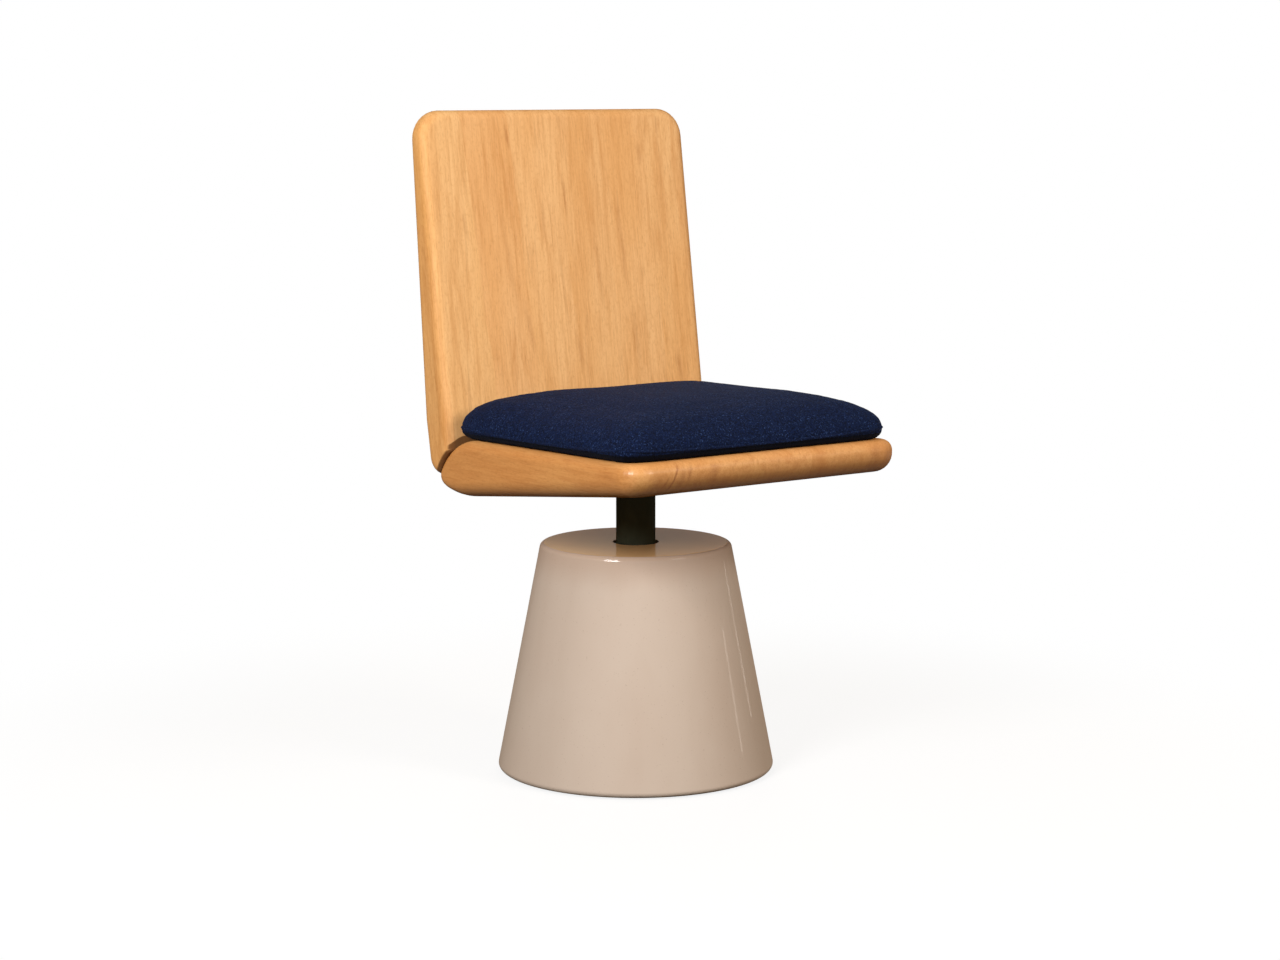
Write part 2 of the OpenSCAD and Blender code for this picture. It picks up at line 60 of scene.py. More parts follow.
# Shader maths: a number or vector that comes out of a node, with Python's own operators
class Level:
    def __init__(self, nodeTree, socket):
        self.nodeTree = nodeTree
        self.socket = socket

    def maths(self, operation, first, second=0.0):
        return self.nodeTree.node("ShaderNodeMath", {"operation": operation}, {0: first, 1: second})

    def __add__(self, other):
        return self.maths("ADD", self, other)

    def __radd__(self, other):
        return self.maths("ADD", other, self)

    def __sub__(self, other):
        return self.maths("SUBTRACT", self, other)

    def __rsub__(self, other):
        return self.maths("SUBTRACT", other, self)

    def __mul__(self, other):
        return self.maths("MULTIPLY", self, other)

    def __rmul__(self, other):
        return self.maths("MULTIPLY", other, self)

    def __truediv__(self, other):
        return self.maths("DIVIDE", self, other)

    def __pow__(self, other):
        return self.maths("POWER", self, other)

    def floor(self):
        return self.maths("FLOOR", self)

    def size(self):
        return self.maths("ABSOLUTE", self)

    def atLeast(self, other):
        return self.maths("MAXIMUM", self, other)


class NodeTree:
    def __init__(self, tree):
        self.tree = tree

    def node(self, kind, settings=None, inputs=None, output=0):
        made = self.tree.nodes.new(kind)
        for setting, value in (settings or {}).items():
            setattr(made, setting, value)
        for socket, value in (inputs or {}).items():
            if isinstance(value, Level):
                self.tree.links.new(value.socket, made.inputs[socket])
            else:
                made.inputs[socket].default_value = value
        return Level(self, made.outputs[output])

    # 1 for what the camera, a mirror or glass sees, 0 for what only lights the chair
    def seen(self):
        camera, mirror, glass = (self.node("ShaderNodeLightPath", output=f"Is {kind} Ray")
                                 for kind in ("Camera", "Glossy", "Transmission"))
        return camera.atLeast(mirror).atLeast(glass)


class Finish(NodeTree):
    def __init__(self, name, **fixed):
        self.material = bpy.data.materials.new(name)
        self.material.use_nodes = True
        super().__init__(self.material.node_tree)
        self.shader = self.tree.nodes["Principled BSDF"]
        for socket, value in fixed.items():
            self.shader.inputs[socket.replace("_", " ")].default_value = value

    # Object coordinates, turned and stretched: scale is in repeats for each metre
    def place(self, scale=(1, 1, 1), turn=(0, 0, 0), shift=(0, 0, 0), start=None):
        start = start or self.node("ShaderNodeTexCoord", output="Object")
        return self.node("ShaderNodeMapping", None,
                         {"Vector": start, "Location": shift, "Rotation": turn, "Scale": scale})

    # One of a vector's numbers, by its letter
    def part(self, vector, letter):
        return self.node("ShaderNodeSeparateXYZ", None, {0: vector}, letter)

    def vectorMaths(self, operation, inputs, output=0):
        return self.node("ShaderNodeVectorMath", {"operation": operation}, inputs, output)

    def cloud(self, where, scale=1.0, detail=2.0, rough=0.5, warp=0.0):
        return self.node("ShaderNodeTexNoise", None,
                         {"Vector": where, "Scale": scale, "Detail": detail, "Roughness": rough,
                          "Distortion": warp})

    # 0 below low, 1 above high, with a soft step between
    def step(self, value, low, high):
        return self.node("ShaderNodeMapRange", {"interpolation_type": "SMOOTHSTEP"},
                         {0: value, 1: low, 2: high, 3: 0.0, 4: 1.0})

    def blend(self, share, low, high, mode="MIX"):
        return self.node("ShaderNodeMix", {"data_type": "RGBA", "blend_type": mode},
                         {0: share, 6: low, 7: high}, 2)

    def bump(self, height, distance, strength, under=None):
        inputs = {"Height": height, "Distance": distance, "Strength": strength}
        if under:
            inputs["Normal"] = under
        return self.node("ShaderNodeBump", None, inputs)

    # For gloss alone: 0 where the surface faces the eye, 1 along its outline
    def outline(self):
        return self.node("ShaderNodeLayerWeight", None, {"Blend": 0.4}, "Facing")

    def link(self, **sockets):
        for socket, value in sockets.items():
            self.tree.links.new(value.socket, self.shader.inputs[socket.replace("_", " ")])
        return self.material


# Timber
timberLook = {
    "pale": fromScreen(251, 201, 142),
    "honey": fromScreen(242, 185, 122),
    "amber": fromScreen(214, 151, 90),
    "streak": fromScreen(166, 101, 54),
    "pore": fromScreen(168, 108, 60),
    # painted shade in the joint's groove and along the back's foot
    "joint": fromScreen(88, 50, 24),
    "rose": (1.0, 0.97, 0.96, 1.0),     # each stave's cast lies between rose and straw
    "straw": (0.99, 1.0, 0.95, 1.0),
    "castShare": 0.55,
    "toneShare": 0.13,                  # how much darker a stave may be
    "seatDepth": (0.84, 0.72, 0.59, 1.0),
    # painted shade on the timber's underside
    "underShade": (0.52, 0.44, 0.26, 1.0),
    "sideDepth": (0.90, 0.82, 0.68, 1.0),
    "endDepth": (0.98, 1.0, 1.0, 1.0),
    "underEnds": (-0.25, 0.55),         # of the surface's slope, where each depth starts and is full
    "sideEnds": (0.45, 0.95),
    "endEnds": (0.55, 0.95),
    "underOnSides": 0.05,               # what the underside's painted shade keeps on the sides
    "jointShare": 0.85,
    "staveWidth": 0.0665,
    "staveSlant": 0.045,                # the staves run a little askew, as sawn boards do
    "staveWander": (14.0, 0.010),       # repeats for each metre, and how far, in metres
    "staveJump": 3.0,                   # metres of grain between one stave and the next
    "honeyEnds": (0.32, 0.70),
    "inBands": 0.6,                     # how much stronger the fibres are within a broad band
    "offBands": 0.7,
    "rings": {"scale": (26, 8, 60), "turn": (0, 0.7, 0)},
    "ringWarp": 0.6,
    "ringEnds": (0.48, 0.70),
    "ringShare": 0.35,
    "polish": 0.42,
    "varnish": 0.37,
    "poreDull": 0.14,
    "lineDull": 0.10,
    "fibreRise": 0.6,                   # of the relief
    "lineRise": 0.5,
    "poreSink": 0.8,
    "relief": 0.00014,
    "reliefShare": 0.45,
    "smoothReach": 0.006,               # the rounded edges' flat facets are smoothed over it
    "smoothSamples": 6,
}
# clouds drawn out along the grain, in repeats for each metre across, through and along it
grainClouds = {
    "drift": ((17, 15, 3.2), {"detail": 2.0}),
    "lines": ((250, 210, 12.0), {"detail": 3.0, "rough": 0.62, "warp": 0.3}),
    "bands": ((62, 55, 6.0), {"detail": 3.0, "rough": 0.6, "warp": 0.7}),
    "fibres": ((720, 660, 40.0), {"detail": 3.0, "rough": 0.66}),
    "mottle": ((330, 300, 190.0), {"detail": 2.0, "rough": 0.6}),
    "streaks": ((100, 85, 9.0), {"detail": 3.0, "rough": 0.6, "warp": 0.8}),
    "pores": ((1250, 1100, 90.0), {"detail": 1.0}),
}
# colours laid over each other: cloud, where it begins and is full, its share and its colour
grainCoats = [
    ("lines", 0.42, 0.76, 0.42, "amber"),
    ("bands", 0.46, 0.66, 0.34, "amber"),
    ("fibres", 0.46, 0.70, 0.40, "amber"),
    ("gaps", 0.50, 0.74, 0.34, "pale"),
    ("mottle", 0.48, 0.70, 0.26, "amber"),
    ("streaks", 0.58, 0.78, 0.26, "streak"),
    ("pores", 0.60, 0.72, 0.22, "pore"),
]
# darker marks in the grain: across, height, slope, half length, half width, strength
backMarks = [
    (-0.0755, 0.770, -0.11, 0.019, 0.0021, 0.55), (0.0035, 0.696, -0.06, 0.030, 0.0019, 0.42),
    (-0.0315, 0.667, 0.02, 0.028, 0.0022, 0.26), (-0.1475, 0.663, -0.11, 0.019, 0.0028, 0.26),
    (-0.0655, 0.536, -0.15, 0.038, 0.0036, 0.30), (0.0075, 0.503, -0.07, 0.026, 0.0026, 0.36),
    (0.0955, 0.517, -0.07, 0.045, 0.0042, 0.30), (0.1600, 0.477, -0.12, 0.024, 0.0034, 0.42),
    (0.1240, 0.746, -0.09, 0.016, 0.0028, 0.32), (0.1555, 0.781, -0.04, 0.017, 0.0024, 0.28),
    (0.0470, 0.600, -0.05, 0.060, 0.0022, 0.22), (-0.0100, 0.590, -0.05, 0.070, 0.0020, 0.22),
    (-0.0880, 0.620, -0.10, 0.080, 0.0030, 0.20), (0.0850, 0.640, -0.06, 0.070, 0.0026, 0.20),
]
frontMarks = [
    (-0.1640, 0.397, 0.8, 0.014, 0.0050, 0.26), (-0.1515, 0.396, 0.6, 0.009, 0.0016, 0.55),
    (-0.1395, 0.402, 0.4, 0.016, 0.0014, 1.00), (-0.1290, 0.399, 0.3, 0.013, 0.0048, 0.50),
    (-0.1180, 0.403, 0.2, 0.013, 0.0022, 0.60), (-0.0835, 0.402, 0.2, 0.013, 0.0055, 0.55),
    (0.0100, 0.404, 0.1, 0.020, 0.0030, 0.16), (0.1590, 0.403, 0.2, 0.017, 0.0070, 0.42),
    (0.1760, 0.404, 0.2, 0.016, 0.0030, 0.34),
]
markLook = {
    "strength": 0.85,
    "spread": 1.9,                      # in half widths
    "ends": (0.15, 1.15),               # in half lengths, where a mark fades out
    "inGaps": 0.4,                      # what shows between the fibres
    "waver": (60.0, 0.004),             # repeats for each metre, and how far, in metres
    "flutter": (420.0, 0.0016),
}
# painted shade in the groove of the joint and along the foot of the back, from and to in metres
grooveLook = {
    "centre": (0.060, 0.3277),          # of the seat's rolled end, in y and z
    "radius": 0.085,
    "opens": (-0.0022, -0.0006),        # out from the roll
    "deep": (0.0020, 0.0045),
    "behind": (0.090, 0.097),           # in y
    "foot": (0.3970, 0.3990),           # the painted shade along the foot of the back, in z
    "footTop": (0.4127, 0.4143),
    "footFront": (0.113, 0.116),        # in y
    "fadesFrom": 0.170,                 # in x, where the band starts to sink towards the sides
    "fadeCurve": 14.8,
}


def withMarks(finish, body, where, fibres, marks):
    look = markLook
    x, z = finish.part(where, "X"), finish.part(where, "Z")
    waver, flutter = ((finish.cloud(where, repeats, 2.0) - 0.5) * reach
                      for repeats, reach in (look["waver"], look["flutter"]))
    waver = waver + flutter
    for across, height, slope, half, wide, strength in marks:
        down = z - height
        beside = ((x - down * slope - across + waver) / wide).size()
        inLength = 1 - finish.step((down / half).size(), *look["ends"])
        mark = ((1 - finish.step(beside, 0.0, look["spread"])) * inLength
                * (fibres + look["inGaps"]) * (strength * look["strength"]))
        body = finish.blend(mark, body, timberLook["streak"])
    return body


def jointGroove(finish, where):
    look = grooveLook
    x, y, z = (finish.part(where, letter) for letter in "XYZ")
    away = ((y - look["centre"][0]) ** 2.0 + (z - look["centre"][1]) ** 2.0) ** 0.5 - look["radius"]
    deep = 1 - finish.step(away, *look["deep"])
    beyond = (x.size() - look["fadesFrom"]).atLeast(0.0)
    foot = (finish.step(z, *look["foot"])
            * (1 - finish.step(z + beyond ** 2.0 * look["fadeCurve"], *look["footTop"]))
            * (1 - finish.step(y, *look["footFront"])))
    return finish.step(away, *look["opens"]) * finish.step(y, *look["behind"]) * deep.atLeast(foot)


def timber(name, grainTurn, staveShift, seed, shine=0.3, marks=(), deepWithUnderShade=False):
    # grainTurn turns Object coordinates about X until the grain runs along Z
    look = timberLook
    finish = Finish(name, Roughness=look["polish"], IOR=1.46, Specular_IOR_Level=0.0,
                    Coat_Roughness=look["varnish"], Coat_IOR=1.5)
    where = finish.place()
    turned = finish.place(turn=(grainTurn, 0, 0), shift=(seed, 0, 0))
    repeats, reach = look["staveWander"]
    across = finish.part(turned, "X") - seed + (finish.cloud(where, repeats, 3.0) - 0.5) * reach
    slanted = across + finish.part(turned, "Z") * look["staveSlant"]
    stave = (slanted / look["staveWidth"] + staveShift).floor()

    def staveChance(factor, output):
        return finish.node("ShaderNodeTexWhiteNoise", {"noise_dimensions": "1D"},
                           {"W": stave + seed * factor}, output)

    jump = finish.vectorMaths("SCALE", {0: staveChance(7.0, "Color"), "Scale": look["staveJump"]})
    board = finish.vectorMaths("ADD", {0: turned, 1: jump})
    clouds = {kind: finish.cloud(finish.place(scale=scale, start=board), **shape)
              for kind, (scale, shape) in grainClouds.items()}
    clouds["gaps"] = 1 - clouds["fibres"]

    body = finish.blend(finish.step(clouds["drift"], *look["honeyEnds"]), look["pale"], look["honey"])
    cover = {}
    for kind, low, high, share, colour in grainCoats:
        cover[kind] = finish.step(clouds[kind], low, high)
        laid = cover[kind] * share
        if kind in ("fibres", "gaps"):
            laid = laid * (cover["bands"] * look["inBands"] + look["offBands"])
        body = finish.blend(laid, body, look[colour])
    body = finish.blend(staveChance(3.0, "Value") * look["toneShare"], body, look["amber"])
    cast = finish.blend(staveChance(5.0, "Value"), look["rose"], look["straw"])
    body = finish.blend(look["castShare"], body, cast, "MULTIPLY")
    body = withMarks(finish, body, where, clouds["fibres"], marks)

    smooth = finish.node("ShaderNodeBevel", {"samples": look["smoothSamples"]},
                         {"Radius": look["smoothReach"]})
    surface = finish.node("ShaderNodeVectorTransform",
                          {"vector_type": "NORMAL", "convert_from": "WORLD", "convert_to": "OBJECT"},
                          {0: smooth})
    grain = (0, math.sin(grainTurn), math.cos(grainTurn))
    endOn = finish.vectorMaths("DOT_PRODUCT", {0: surface, 1: grain}, "Value")
    ends = finish.step(endOn.size(), *look["endEnds"])
    sides = finish.step(finish.part(surface, "X").size(), *look["sideEnds"])
    # cut ends take up more oil, and show their rings as soft slanting bands
    ringPlace = finish.place(start=board, **look["rings"])
    rings = finish.step(finish.cloud(ringPlace, warp=look["ringWarp"]), *look["ringEnds"])
    body = finish.blend(ends * rings * look["ringShare"], body, look["amber"])
    body = finish.blend(ends, body, look["endDepth"], "MULTIPLY")
    body = finish.blend(sides, body, look["sideDepth"], "MULTIPLY")
    if deepWithUnderShade:                                           # the seat's timber is deeper all over, with painted shade underneath
        body = finish.blend(1.0, body, look["seatDepth"], "MULTIPLY")
        # painted shade where the surface faces down
        under = finish.step(finish.part(surface, "Z") * -1.0, *look["underEnds"])
        kept = 1 - sides * (1 - look["underOnSides"])
        body = finish.blend(under * kept, body, look["underShade"], "MULTIPLY")
    # painted shade in the joint's groove and along the back's foot
    grooveShadowed = jointGroove(finish, where)
    body = finish.blend(grooveShadowed * look["jointShare"], body, look["joint"])

    gloss = look["polish"] + cover["pores"] * look["poreDull"] + (clouds["lines"] - 0.5) * look["lineDull"]
    relief = (clouds["fibres"] * look["fibreRise"] + clouds["lines"] * look["lineRise"]
              - cover["pores"] * look["poreSink"])
    return finish.link(Base_Color=body, Roughness=gloss,
                       Coat_Weight=(1 - finish.outline()) ** 2.0 * (1 - grooveShadowed) * shine,
                       Normal=finish.bump(relief, look["relief"], look["reliefShare"], smooth))


# Wool: each cloud has its repeats for each metre, detail, roughness and warp
woolLook = {
    "deep": fromScreen(8, 13, 31),
    "navy": fromScreen(15, 27, 59),
    "tufts": (400.0, 2.0, 0.6, 0.6),
    "tuftEnds": (0.36, 0.64),
    "fleck": fromScreen(52, 74, 120),
    "flecks": (580.0, 2.0, 0.6, 0.4),
    "fleckEnds": (0.56, 0.70),
    "patches": (42.0, 3.0, 0.6),        # where the flecks lie closer
    "patchEnds": (0.22, 0.58),
    "fleckShare": 0.85,
    "hairs": (1100.0, 2.0, 0.7),
    "hairEnds": (0.45, 0.80),
    "hairShare": 0.25,
    "shadeBelowSeam": fromScreen(3, 4, 7),     # painted shade, near black, below the pad's seam
    "shadeBelowSeamShare": 0.92,
    "shadeBelowSeamEnds": (-0.0020, 0.0002),   # in metres above the seam
    "shadeBelowSeamWaver": 0.003,
    "seamLevel": 0.4232,                # where the seat's slope brings the seam at y = 0
    "sheen": 0.03,
    "sheenTint": fromScreen(128, 140, 170),
    "yarnRepeats": 560.0,
    "yarnSink": 0.7,                    # of the relief
    "hairRise": 0.35,
    "relief": 0.0011,
    "reliefShare": 0.75,
}


def wool(name):
    look = woolLook
    finish = Finish(name, Roughness=0.92, IOR=1.4, Specular_IOR_Level=0.1, Sheen_Roughness=0.45,
                    Sheen_Weight=look["sheen"], Sheen_Tint=look["sheenTint"])
    where = finish.place()
    tufts, hairs, patches, flecks = (finish.cloud(where, *look[kind])
                                     for kind in ("tufts", "hairs", "patches", "flecks"))
    yarn = finish.node("ShaderNodeTexVoronoi", {"feature": "F1"},
                       {"Vector": where, "Scale": look["yarnRepeats"]}, "Distance")
    body = finish.blend(finish.step(tufts, *look["tuftEnds"]), look["deep"], look["navy"])
    flecked = finish.step(flecks, *look["fleckEnds"]) * finish.step(patches, *look["patchEnds"])
    body = finish.blend(flecked * look["fleckShare"], body, look["fleck"])
    body = finish.blend(finish.step(hairs, *look["hairEnds"]) * look["hairShare"], body, look["fleck"])
    slope = finish.part(where, "Y") * math.tan(seatFall)
    height = finish.part(where, "Z") + slope - look["seamLevel"]
    # painted shade on the pad's underside, below the seam
    above = finish.step(height + (tufts - 0.5) * look["shadeBelowSeamWaver"], *look["shadeBelowSeamEnds"])
    body = finish.blend((1 - above) * look["shadeBelowSeamShare"], body, look["shadeBelowSeam"])
    relief = tufts - yarn * look["yarnSink"] + hairs * look["hairRise"]
    return finish.link(Base_Color=body,
                       Normal=finish.bump(relief, look["relief"], look["reliefShare"]))


# Glaze
glazeLook = {
    "body": fromScreen(209, 191, 175),
    "thick": fromScreen(198, 176, 158),
    "broad": (7.0, 3.0, 0.55, 0.3),
    "broadEnds": (0.30, 0.70),
    "broadShare": 0.30,
    "runScale": (26, 26, 5),            # the runs are drawn out downwards
    "runEnds": (0.4, 0.7),
    "runShare": 0.18,
    "speck": fromScreen(158, 130, 108),
    "specks": (520.0, 1.0),
    "speckEnds": (0.70, 0.78),
    "speckShare": 0.35,
    "rim": fromScreen(186, 156, 134),   # painted shade below the rim, where the seat's shadow falls
    "rimShare": 0.55,
    "rimEnds": (0.235, 0.279),
    "rimWaver": 0.010,
    "clay": fromScreen(196, 168, 140),  # the glaze leaves the foot bare
    "clayEnds": (0.0032, 0.0042),
    # painted warm light on the flat top, as from the timber seat above it
    "flatWarmLight": (1.24, 1.04, 0.64, 1.0),
    "flatEnds": (0.975, 0.998),         # of the surface's slope, as for the timber
    "flatShine": 0.18,
    "polish": 0.12,
    "broadDull": 0.06,
    "clayDull": 0.5,
    "wave": (22.0, 1.0),
    "peel": (150.0, 2.0),
    "peelRise": 0.10,
    "relief": 0.0003,
    "reliefShare": 0.30,
}


def glaze(name):
    look = glazeLook
    finish = Finish(name, Roughness=0.2, IOR=1.5, Coat_Roughness=0.04, Coat_IOR=1.5,
                    Specular_IOR_Level=0.0)
    where = finish.place()
    height = finish.part(where, "Z")
    broad, specks, wave, peel = (finish.cloud(where, *look[kind])
                                 for kind in ("broad", "specks", "wave", "peel"))
    runs = finish.cloud(finish.place(scale=look["runScale"]))
    pooled = (finish.step(broad, *look["broadEnds"]) * look["broadShare"]
              + finish.step(runs, *look["runEnds"]) * look["runShare"])
    body = finish.blend(pooled, look["body"], look["thick"])
    # painted shade below the rim
    rimShaded = finish.step(height + (runs - 0.5) * look["rimWaver"], *look["rimEnds"])
    body = finish.blend(rimShaded * look["rimShare"], body, look["rim"])
    body = finish.blend(finish.step(specks, *look["speckEnds"]) * look["speckShare"], body, look["speck"])
    bare = 1 - finish.step(height, *look["clayEnds"])
    body = finish.blend(bare, body, look["clay"])
    surface = finish.node("ShaderNodeTexCoord", output="Normal")
    flat = finish.step(finish.part(surface, "Z"), *look["flatEnds"])
    # painted warm light on the flat top
    body = finish.blend(flat, body, look["flatWarmLight"], "MULTIPLY")
    gloss = look["polish"] + broad * look["broadDull"] + bare * look["clayDull"]
    shine = (1 - bare) * (1 - finish.outline()) ** 4.0 + flat * look["flatShine"]
    relief = wave + peel * look["peelRise"]
    return finish.link(Base_Color=body, Roughness=gloss, Coat_Weight=shine,
                       Normal=finish.bump(relief, look["relief"], look["reliefShare"]))


# Metals, powder coat, rubber and plastic
metalLook = {
    "smudges": (30.0, 3.0),
    "dullShare": 0.12,
    "dull": 0.55,
    "smudgeDull": 0.16,
    "lineDull": 0.10,
    "relief": 0.00004,
    "reliefShare": 0.4,
}
powderLook = {
    "grit": (1100.0, 2.0, 0.6),
    "dust": (26.0, 3.0, 0.6),
    "dustEnds": (0.45, 0.75),
    "dustShare": 0.35,
    "dusty": (1.7, 0.002),              # the colour's share and lift
    "dustDull": 0.12,
    "relief": 0.00012,
    "reliefShare": 0.5,
}
mouldedLook = {
    "wear": (55.0, 3.0),
    "wearEnds": (0.35, 0.75),
    "wearShare": 0.4,
    "worn": 0.72,
    "wearDull": 0.2,
    "relief": 0.0001,
    "reliefShare": 0.4,
}


def metal(name, colour, roughness, scratch=(60, 60, 900)):
    look = metalLook
    finish = Finish(name, Metallic=1.0, Roughness=roughness)
    lines = finish.cloud(finish.place(scale=scratch), detail=3.0, rough=0.6)
    smudge = finish.cloud(finish.place(), *look["smudges"])
    laid = lines * look["dullShare"] + smudge * look["dullShare"]
    body = finish.blend(laid, colour, toned(colour, look["dull"]))
    gloss = roughness + (smudge - 0.5) * look["smudgeDull"] + (lines - 0.5) * look["lineDull"]
    return finish.link(Base_Color=body, Roughness=gloss,
                       Normal=finish.bump(lines, look["relief"], look["reliefShare"]))


def powderCoat(name, colour, roughness, shine=0.5):
    look = powderLook
    finish = Finish(name, Roughness=roughness, IOR=1.5, Specular_IOR_Level=0.0, Coat_IOR=1.5,
                    Coat_Roughness=roughness)
    grit = finish.cloud(finish.place(), *look["grit"])
    dust = finish.cloud(finish.place(), *look["dust"])
    laid = finish.step(dust, *look["dustEnds"]) * look["dustShare"]
    body = finish.blend(laid, colour, toned(colour, *look["dusty"]))
    return finish.link(Base_Color=body, Roughness=roughness + (dust - 0.5) * look["dustDull"],
                       Coat_Weight=(1 - finish.outline()) ** 2.0 * shine,
                       Normal=finish.bump(grit, look["relief"], look["reliefShare"]))


def moulded(name, colour, roughness, texture):
    look = mouldedLook
    finish = Finish(name, Roughness=roughness, IOR=1.48)
    fine = finish.cloud(finish.place(), texture, 2.0, 0.6)
    wear = finish.cloud(finish.place(), *look["wear"])
    laid = finish.step(wear, *look["wearEnds"]) * look["wearShare"]
    body = finish.blend(laid, colour, toned(colour, look["worn"]))
    return finish.link(Base_Color=body, Roughness=roughness + (wear - 0.5) * look["wearDull"],
                       Normal=finish.bump(fine, look["relief"], look["reliefShare"]))


finishes = {
    "glaze": glaze("glaze"),
    "seatTimber": timber("seatTimber", math.pi / 2, 0.30, 1.7, 1.0, frontMarks, deepWithUnderShade=True),
    "backTimber": timber("backTimber", backLean, 0.55, 4.2, 0.12, backMarks),
    "wool": wool("wool"),
    "post": powderCoat("postBlack", fromScreen(62, 65, 52), 0.36, 0.06),
    "plate": powderCoat("plateGrey", fromScreen(86, 88, 90), 0.5),
    "steel": metal("stainless", fromScreen(196, 198, 200), 0.30),
    "turned": metal("turnedSteel", fromScreen(178, 180, 182), 0.34, (30, 30, 1600)),
    "brass": metal("brass", fromScreen(208, 172, 96), 0.32),
    "bronze": metal("bronze", fromScreen(184, 138, 88), 0.42),
    "rubber": moulded("rubber", fromScreen(34, 34, 35), 0.75, 900.0),
    "acetal": moulded("acetal", fromScreen(228, 226, 216), 0.42, 700.0),
    "dowel": timber("dowelTimber", math.radians(48), 0.1, 8.4),
}
wears = {
    "base_shell": "glaze", "rim_gasket": "rubber", "rim_inserts": "brass", "base_plate": "plate",
    "plate_screws": "steel", "glides": "rubber", "glide_studs": "steel", "spindle": "turned",
    "flange_bolts": "steel", "thrust_washer": "bronze", "lower_bush": "acetal",
    "upper_bush": "acetal", "retaining_washer": "steel", "retaining_bolt": "steel",
    "post_tube": "post", "seat_plate": "post", "seat_inserts": "brass", "seat_screws": "steel",
    "seat_panel": "seatTimber", "joint_bolts": "steel", "joint_washers": "steel",
    "joint_inserts": "brass", "joint_dowels": "dowel", "joint_plugs": "seatTimber",
    "back_panel": "backTimber", "cushion_pad": "wool",
}
for node, finish in wears.items():
    nodes[node].data.materials.clear()
    nodes[node].data.materials.append(finishes[finish])
print("finishes made")

# Cushion: wool over a soft filling, sewn all round its edge
cushionLook = {
    "middle": (0, -0.0699, 0.4150),     # on the seat, under the crown
    "halfWide": 0.199,
    "halfDeep": 0.181,
    "weld": 0.00002,
    "startWide": 0.99,                  # of the CAD pad, because the filling swells it
    "startTall": 0.94,
    "voxel": 0.0045,
    "quality": 6,
    "mass": 0.3,
    "pressure": 4.0,
    "moments": 20,
    "mostSwell": 0.006,
    "seamBand": 0.006,                  # what the seam holds while the cloth swells
    "seamFrom": 0.9,
    "cadHeight": 0.0075,                # of the CAD pad's widest line, at the sides' middles
    "cadLift": 0.002,                   # more at the corners
    "seamHeight": 0.0090,
    "seamLift": 0.0050,
    "seamPoints": 360,
    "castFrom": 0.4,                    # how far out each point of the seam is looked for
    "evenings": 2,                      # how often its line is evened out
    "settle": 0.7,                      # how far the cloth takes up the CAD pad's own fullness
    "drawnFrom": 0.12,                  # the middle isn't drawn out with the edge
    "edgeReach": 0.030,
    "shoulder": 0.0025,                 # the filling stands fuller a little way in from the edge
    "rearFull": 1.3,                    # and more towards the back
    "shoulderFrom": 0.026,
    "shoulderReach": 0.024,
    "shoulderRise": 0.010,
    "tuck": 0.0040,                     # the corners' underside is drawn in
    "welt": 0.0018,
    "crease": 0.0012,
    "creaseReach": 0.0045,
    "pucker": 0.0006,
    "puckerReach": 0.020,
    "puckerPitch": 34.0,
    "uneven": 0.0012,
    "unevenFrom": 0.05,
    "unevenPitch": 11.0,
    "unevenShift": (3.1, 0, 0),
    "fuzz": 0.00028,
    "fuzzPitch": 150.0,
    "restsBelow": 0.0004,
    "backAt": (0.1115, 0.41186),        # the back's front face, in y and z
    "clear": 0.0010,                    # kept between the pad and the back
    "fill": 0.65,
}
padFrame = Matrix.Translation(cushionLook["middle"]) @ Matrix.Rotation(-seatFall, 4, "X")
halfWide, halfDeep = cushionLook["halfWide"], cushionLook["halfDeep"]
cadSeam = (cushionLook["cadHeight"], cushionLook["cadLift"])
sewnSeam = (cushionLook["seamHeight"], cushionLook["seamLift"])


def meshOf(piece):
    # as the piece's modifiers leave it
    bpy.context.view_layer.update()
    ready = piece.evaluated_get(bpy.context.evaluated_depsgraph_get())
    return bpy.data.meshes.new_from_object(ready)


def applied(piece):
    made = meshOf(piece)
    piece.modifiers.clear()
    piece.data = made
    return made


def shadeSmooth(data):
    for face in data.polygons:
        face.use_smooth = True


def skinOf(data):
    return BVHTree.FromPolygons([vertex.co for vertex in data.vertices],
                                [face.vertices for face in data.polygons])


def nearest(points):
    tree = KDTree(len(points))
    for index, point in enumerate(points):
        tree.insert(point, index)
    tree.balance()
    return tree


def cornerShare(point):
    return min((point.x / halfWide * point.y / halfDeep) ** 2, 1.0)


def seamHeightAt(point, seam):
    height, lift = seam
    return height + lift * cornerShare(point)


def seamLine(skin, seam):
    # where the cloth lies at the seam's height, found from outside
    count = cushionLook["seamPoints"]
    line = []
    for index in range(count):
        turn = index / count * math.tau
        outward = Vector((math.cos(turn), math.sin(turn), 0))
        guess = outward * min(halfWide / max(abs(outward.x), 1e-6),
                              halfDeep / max(abs(outward.y), 1e-6))
        start = outward * cushionLook["castFrom"] + Vector((0, 0, seamHeightAt(guess, seam)))
        line.append(skin.ray_cast(start, -outward)[0])
    for _ in range(cushionLook["evenings"]):
        line =[(line[i - 1] + line[i] * 2 + line[(i + 1) % count]) / 4 for i in range(count)]
    return line


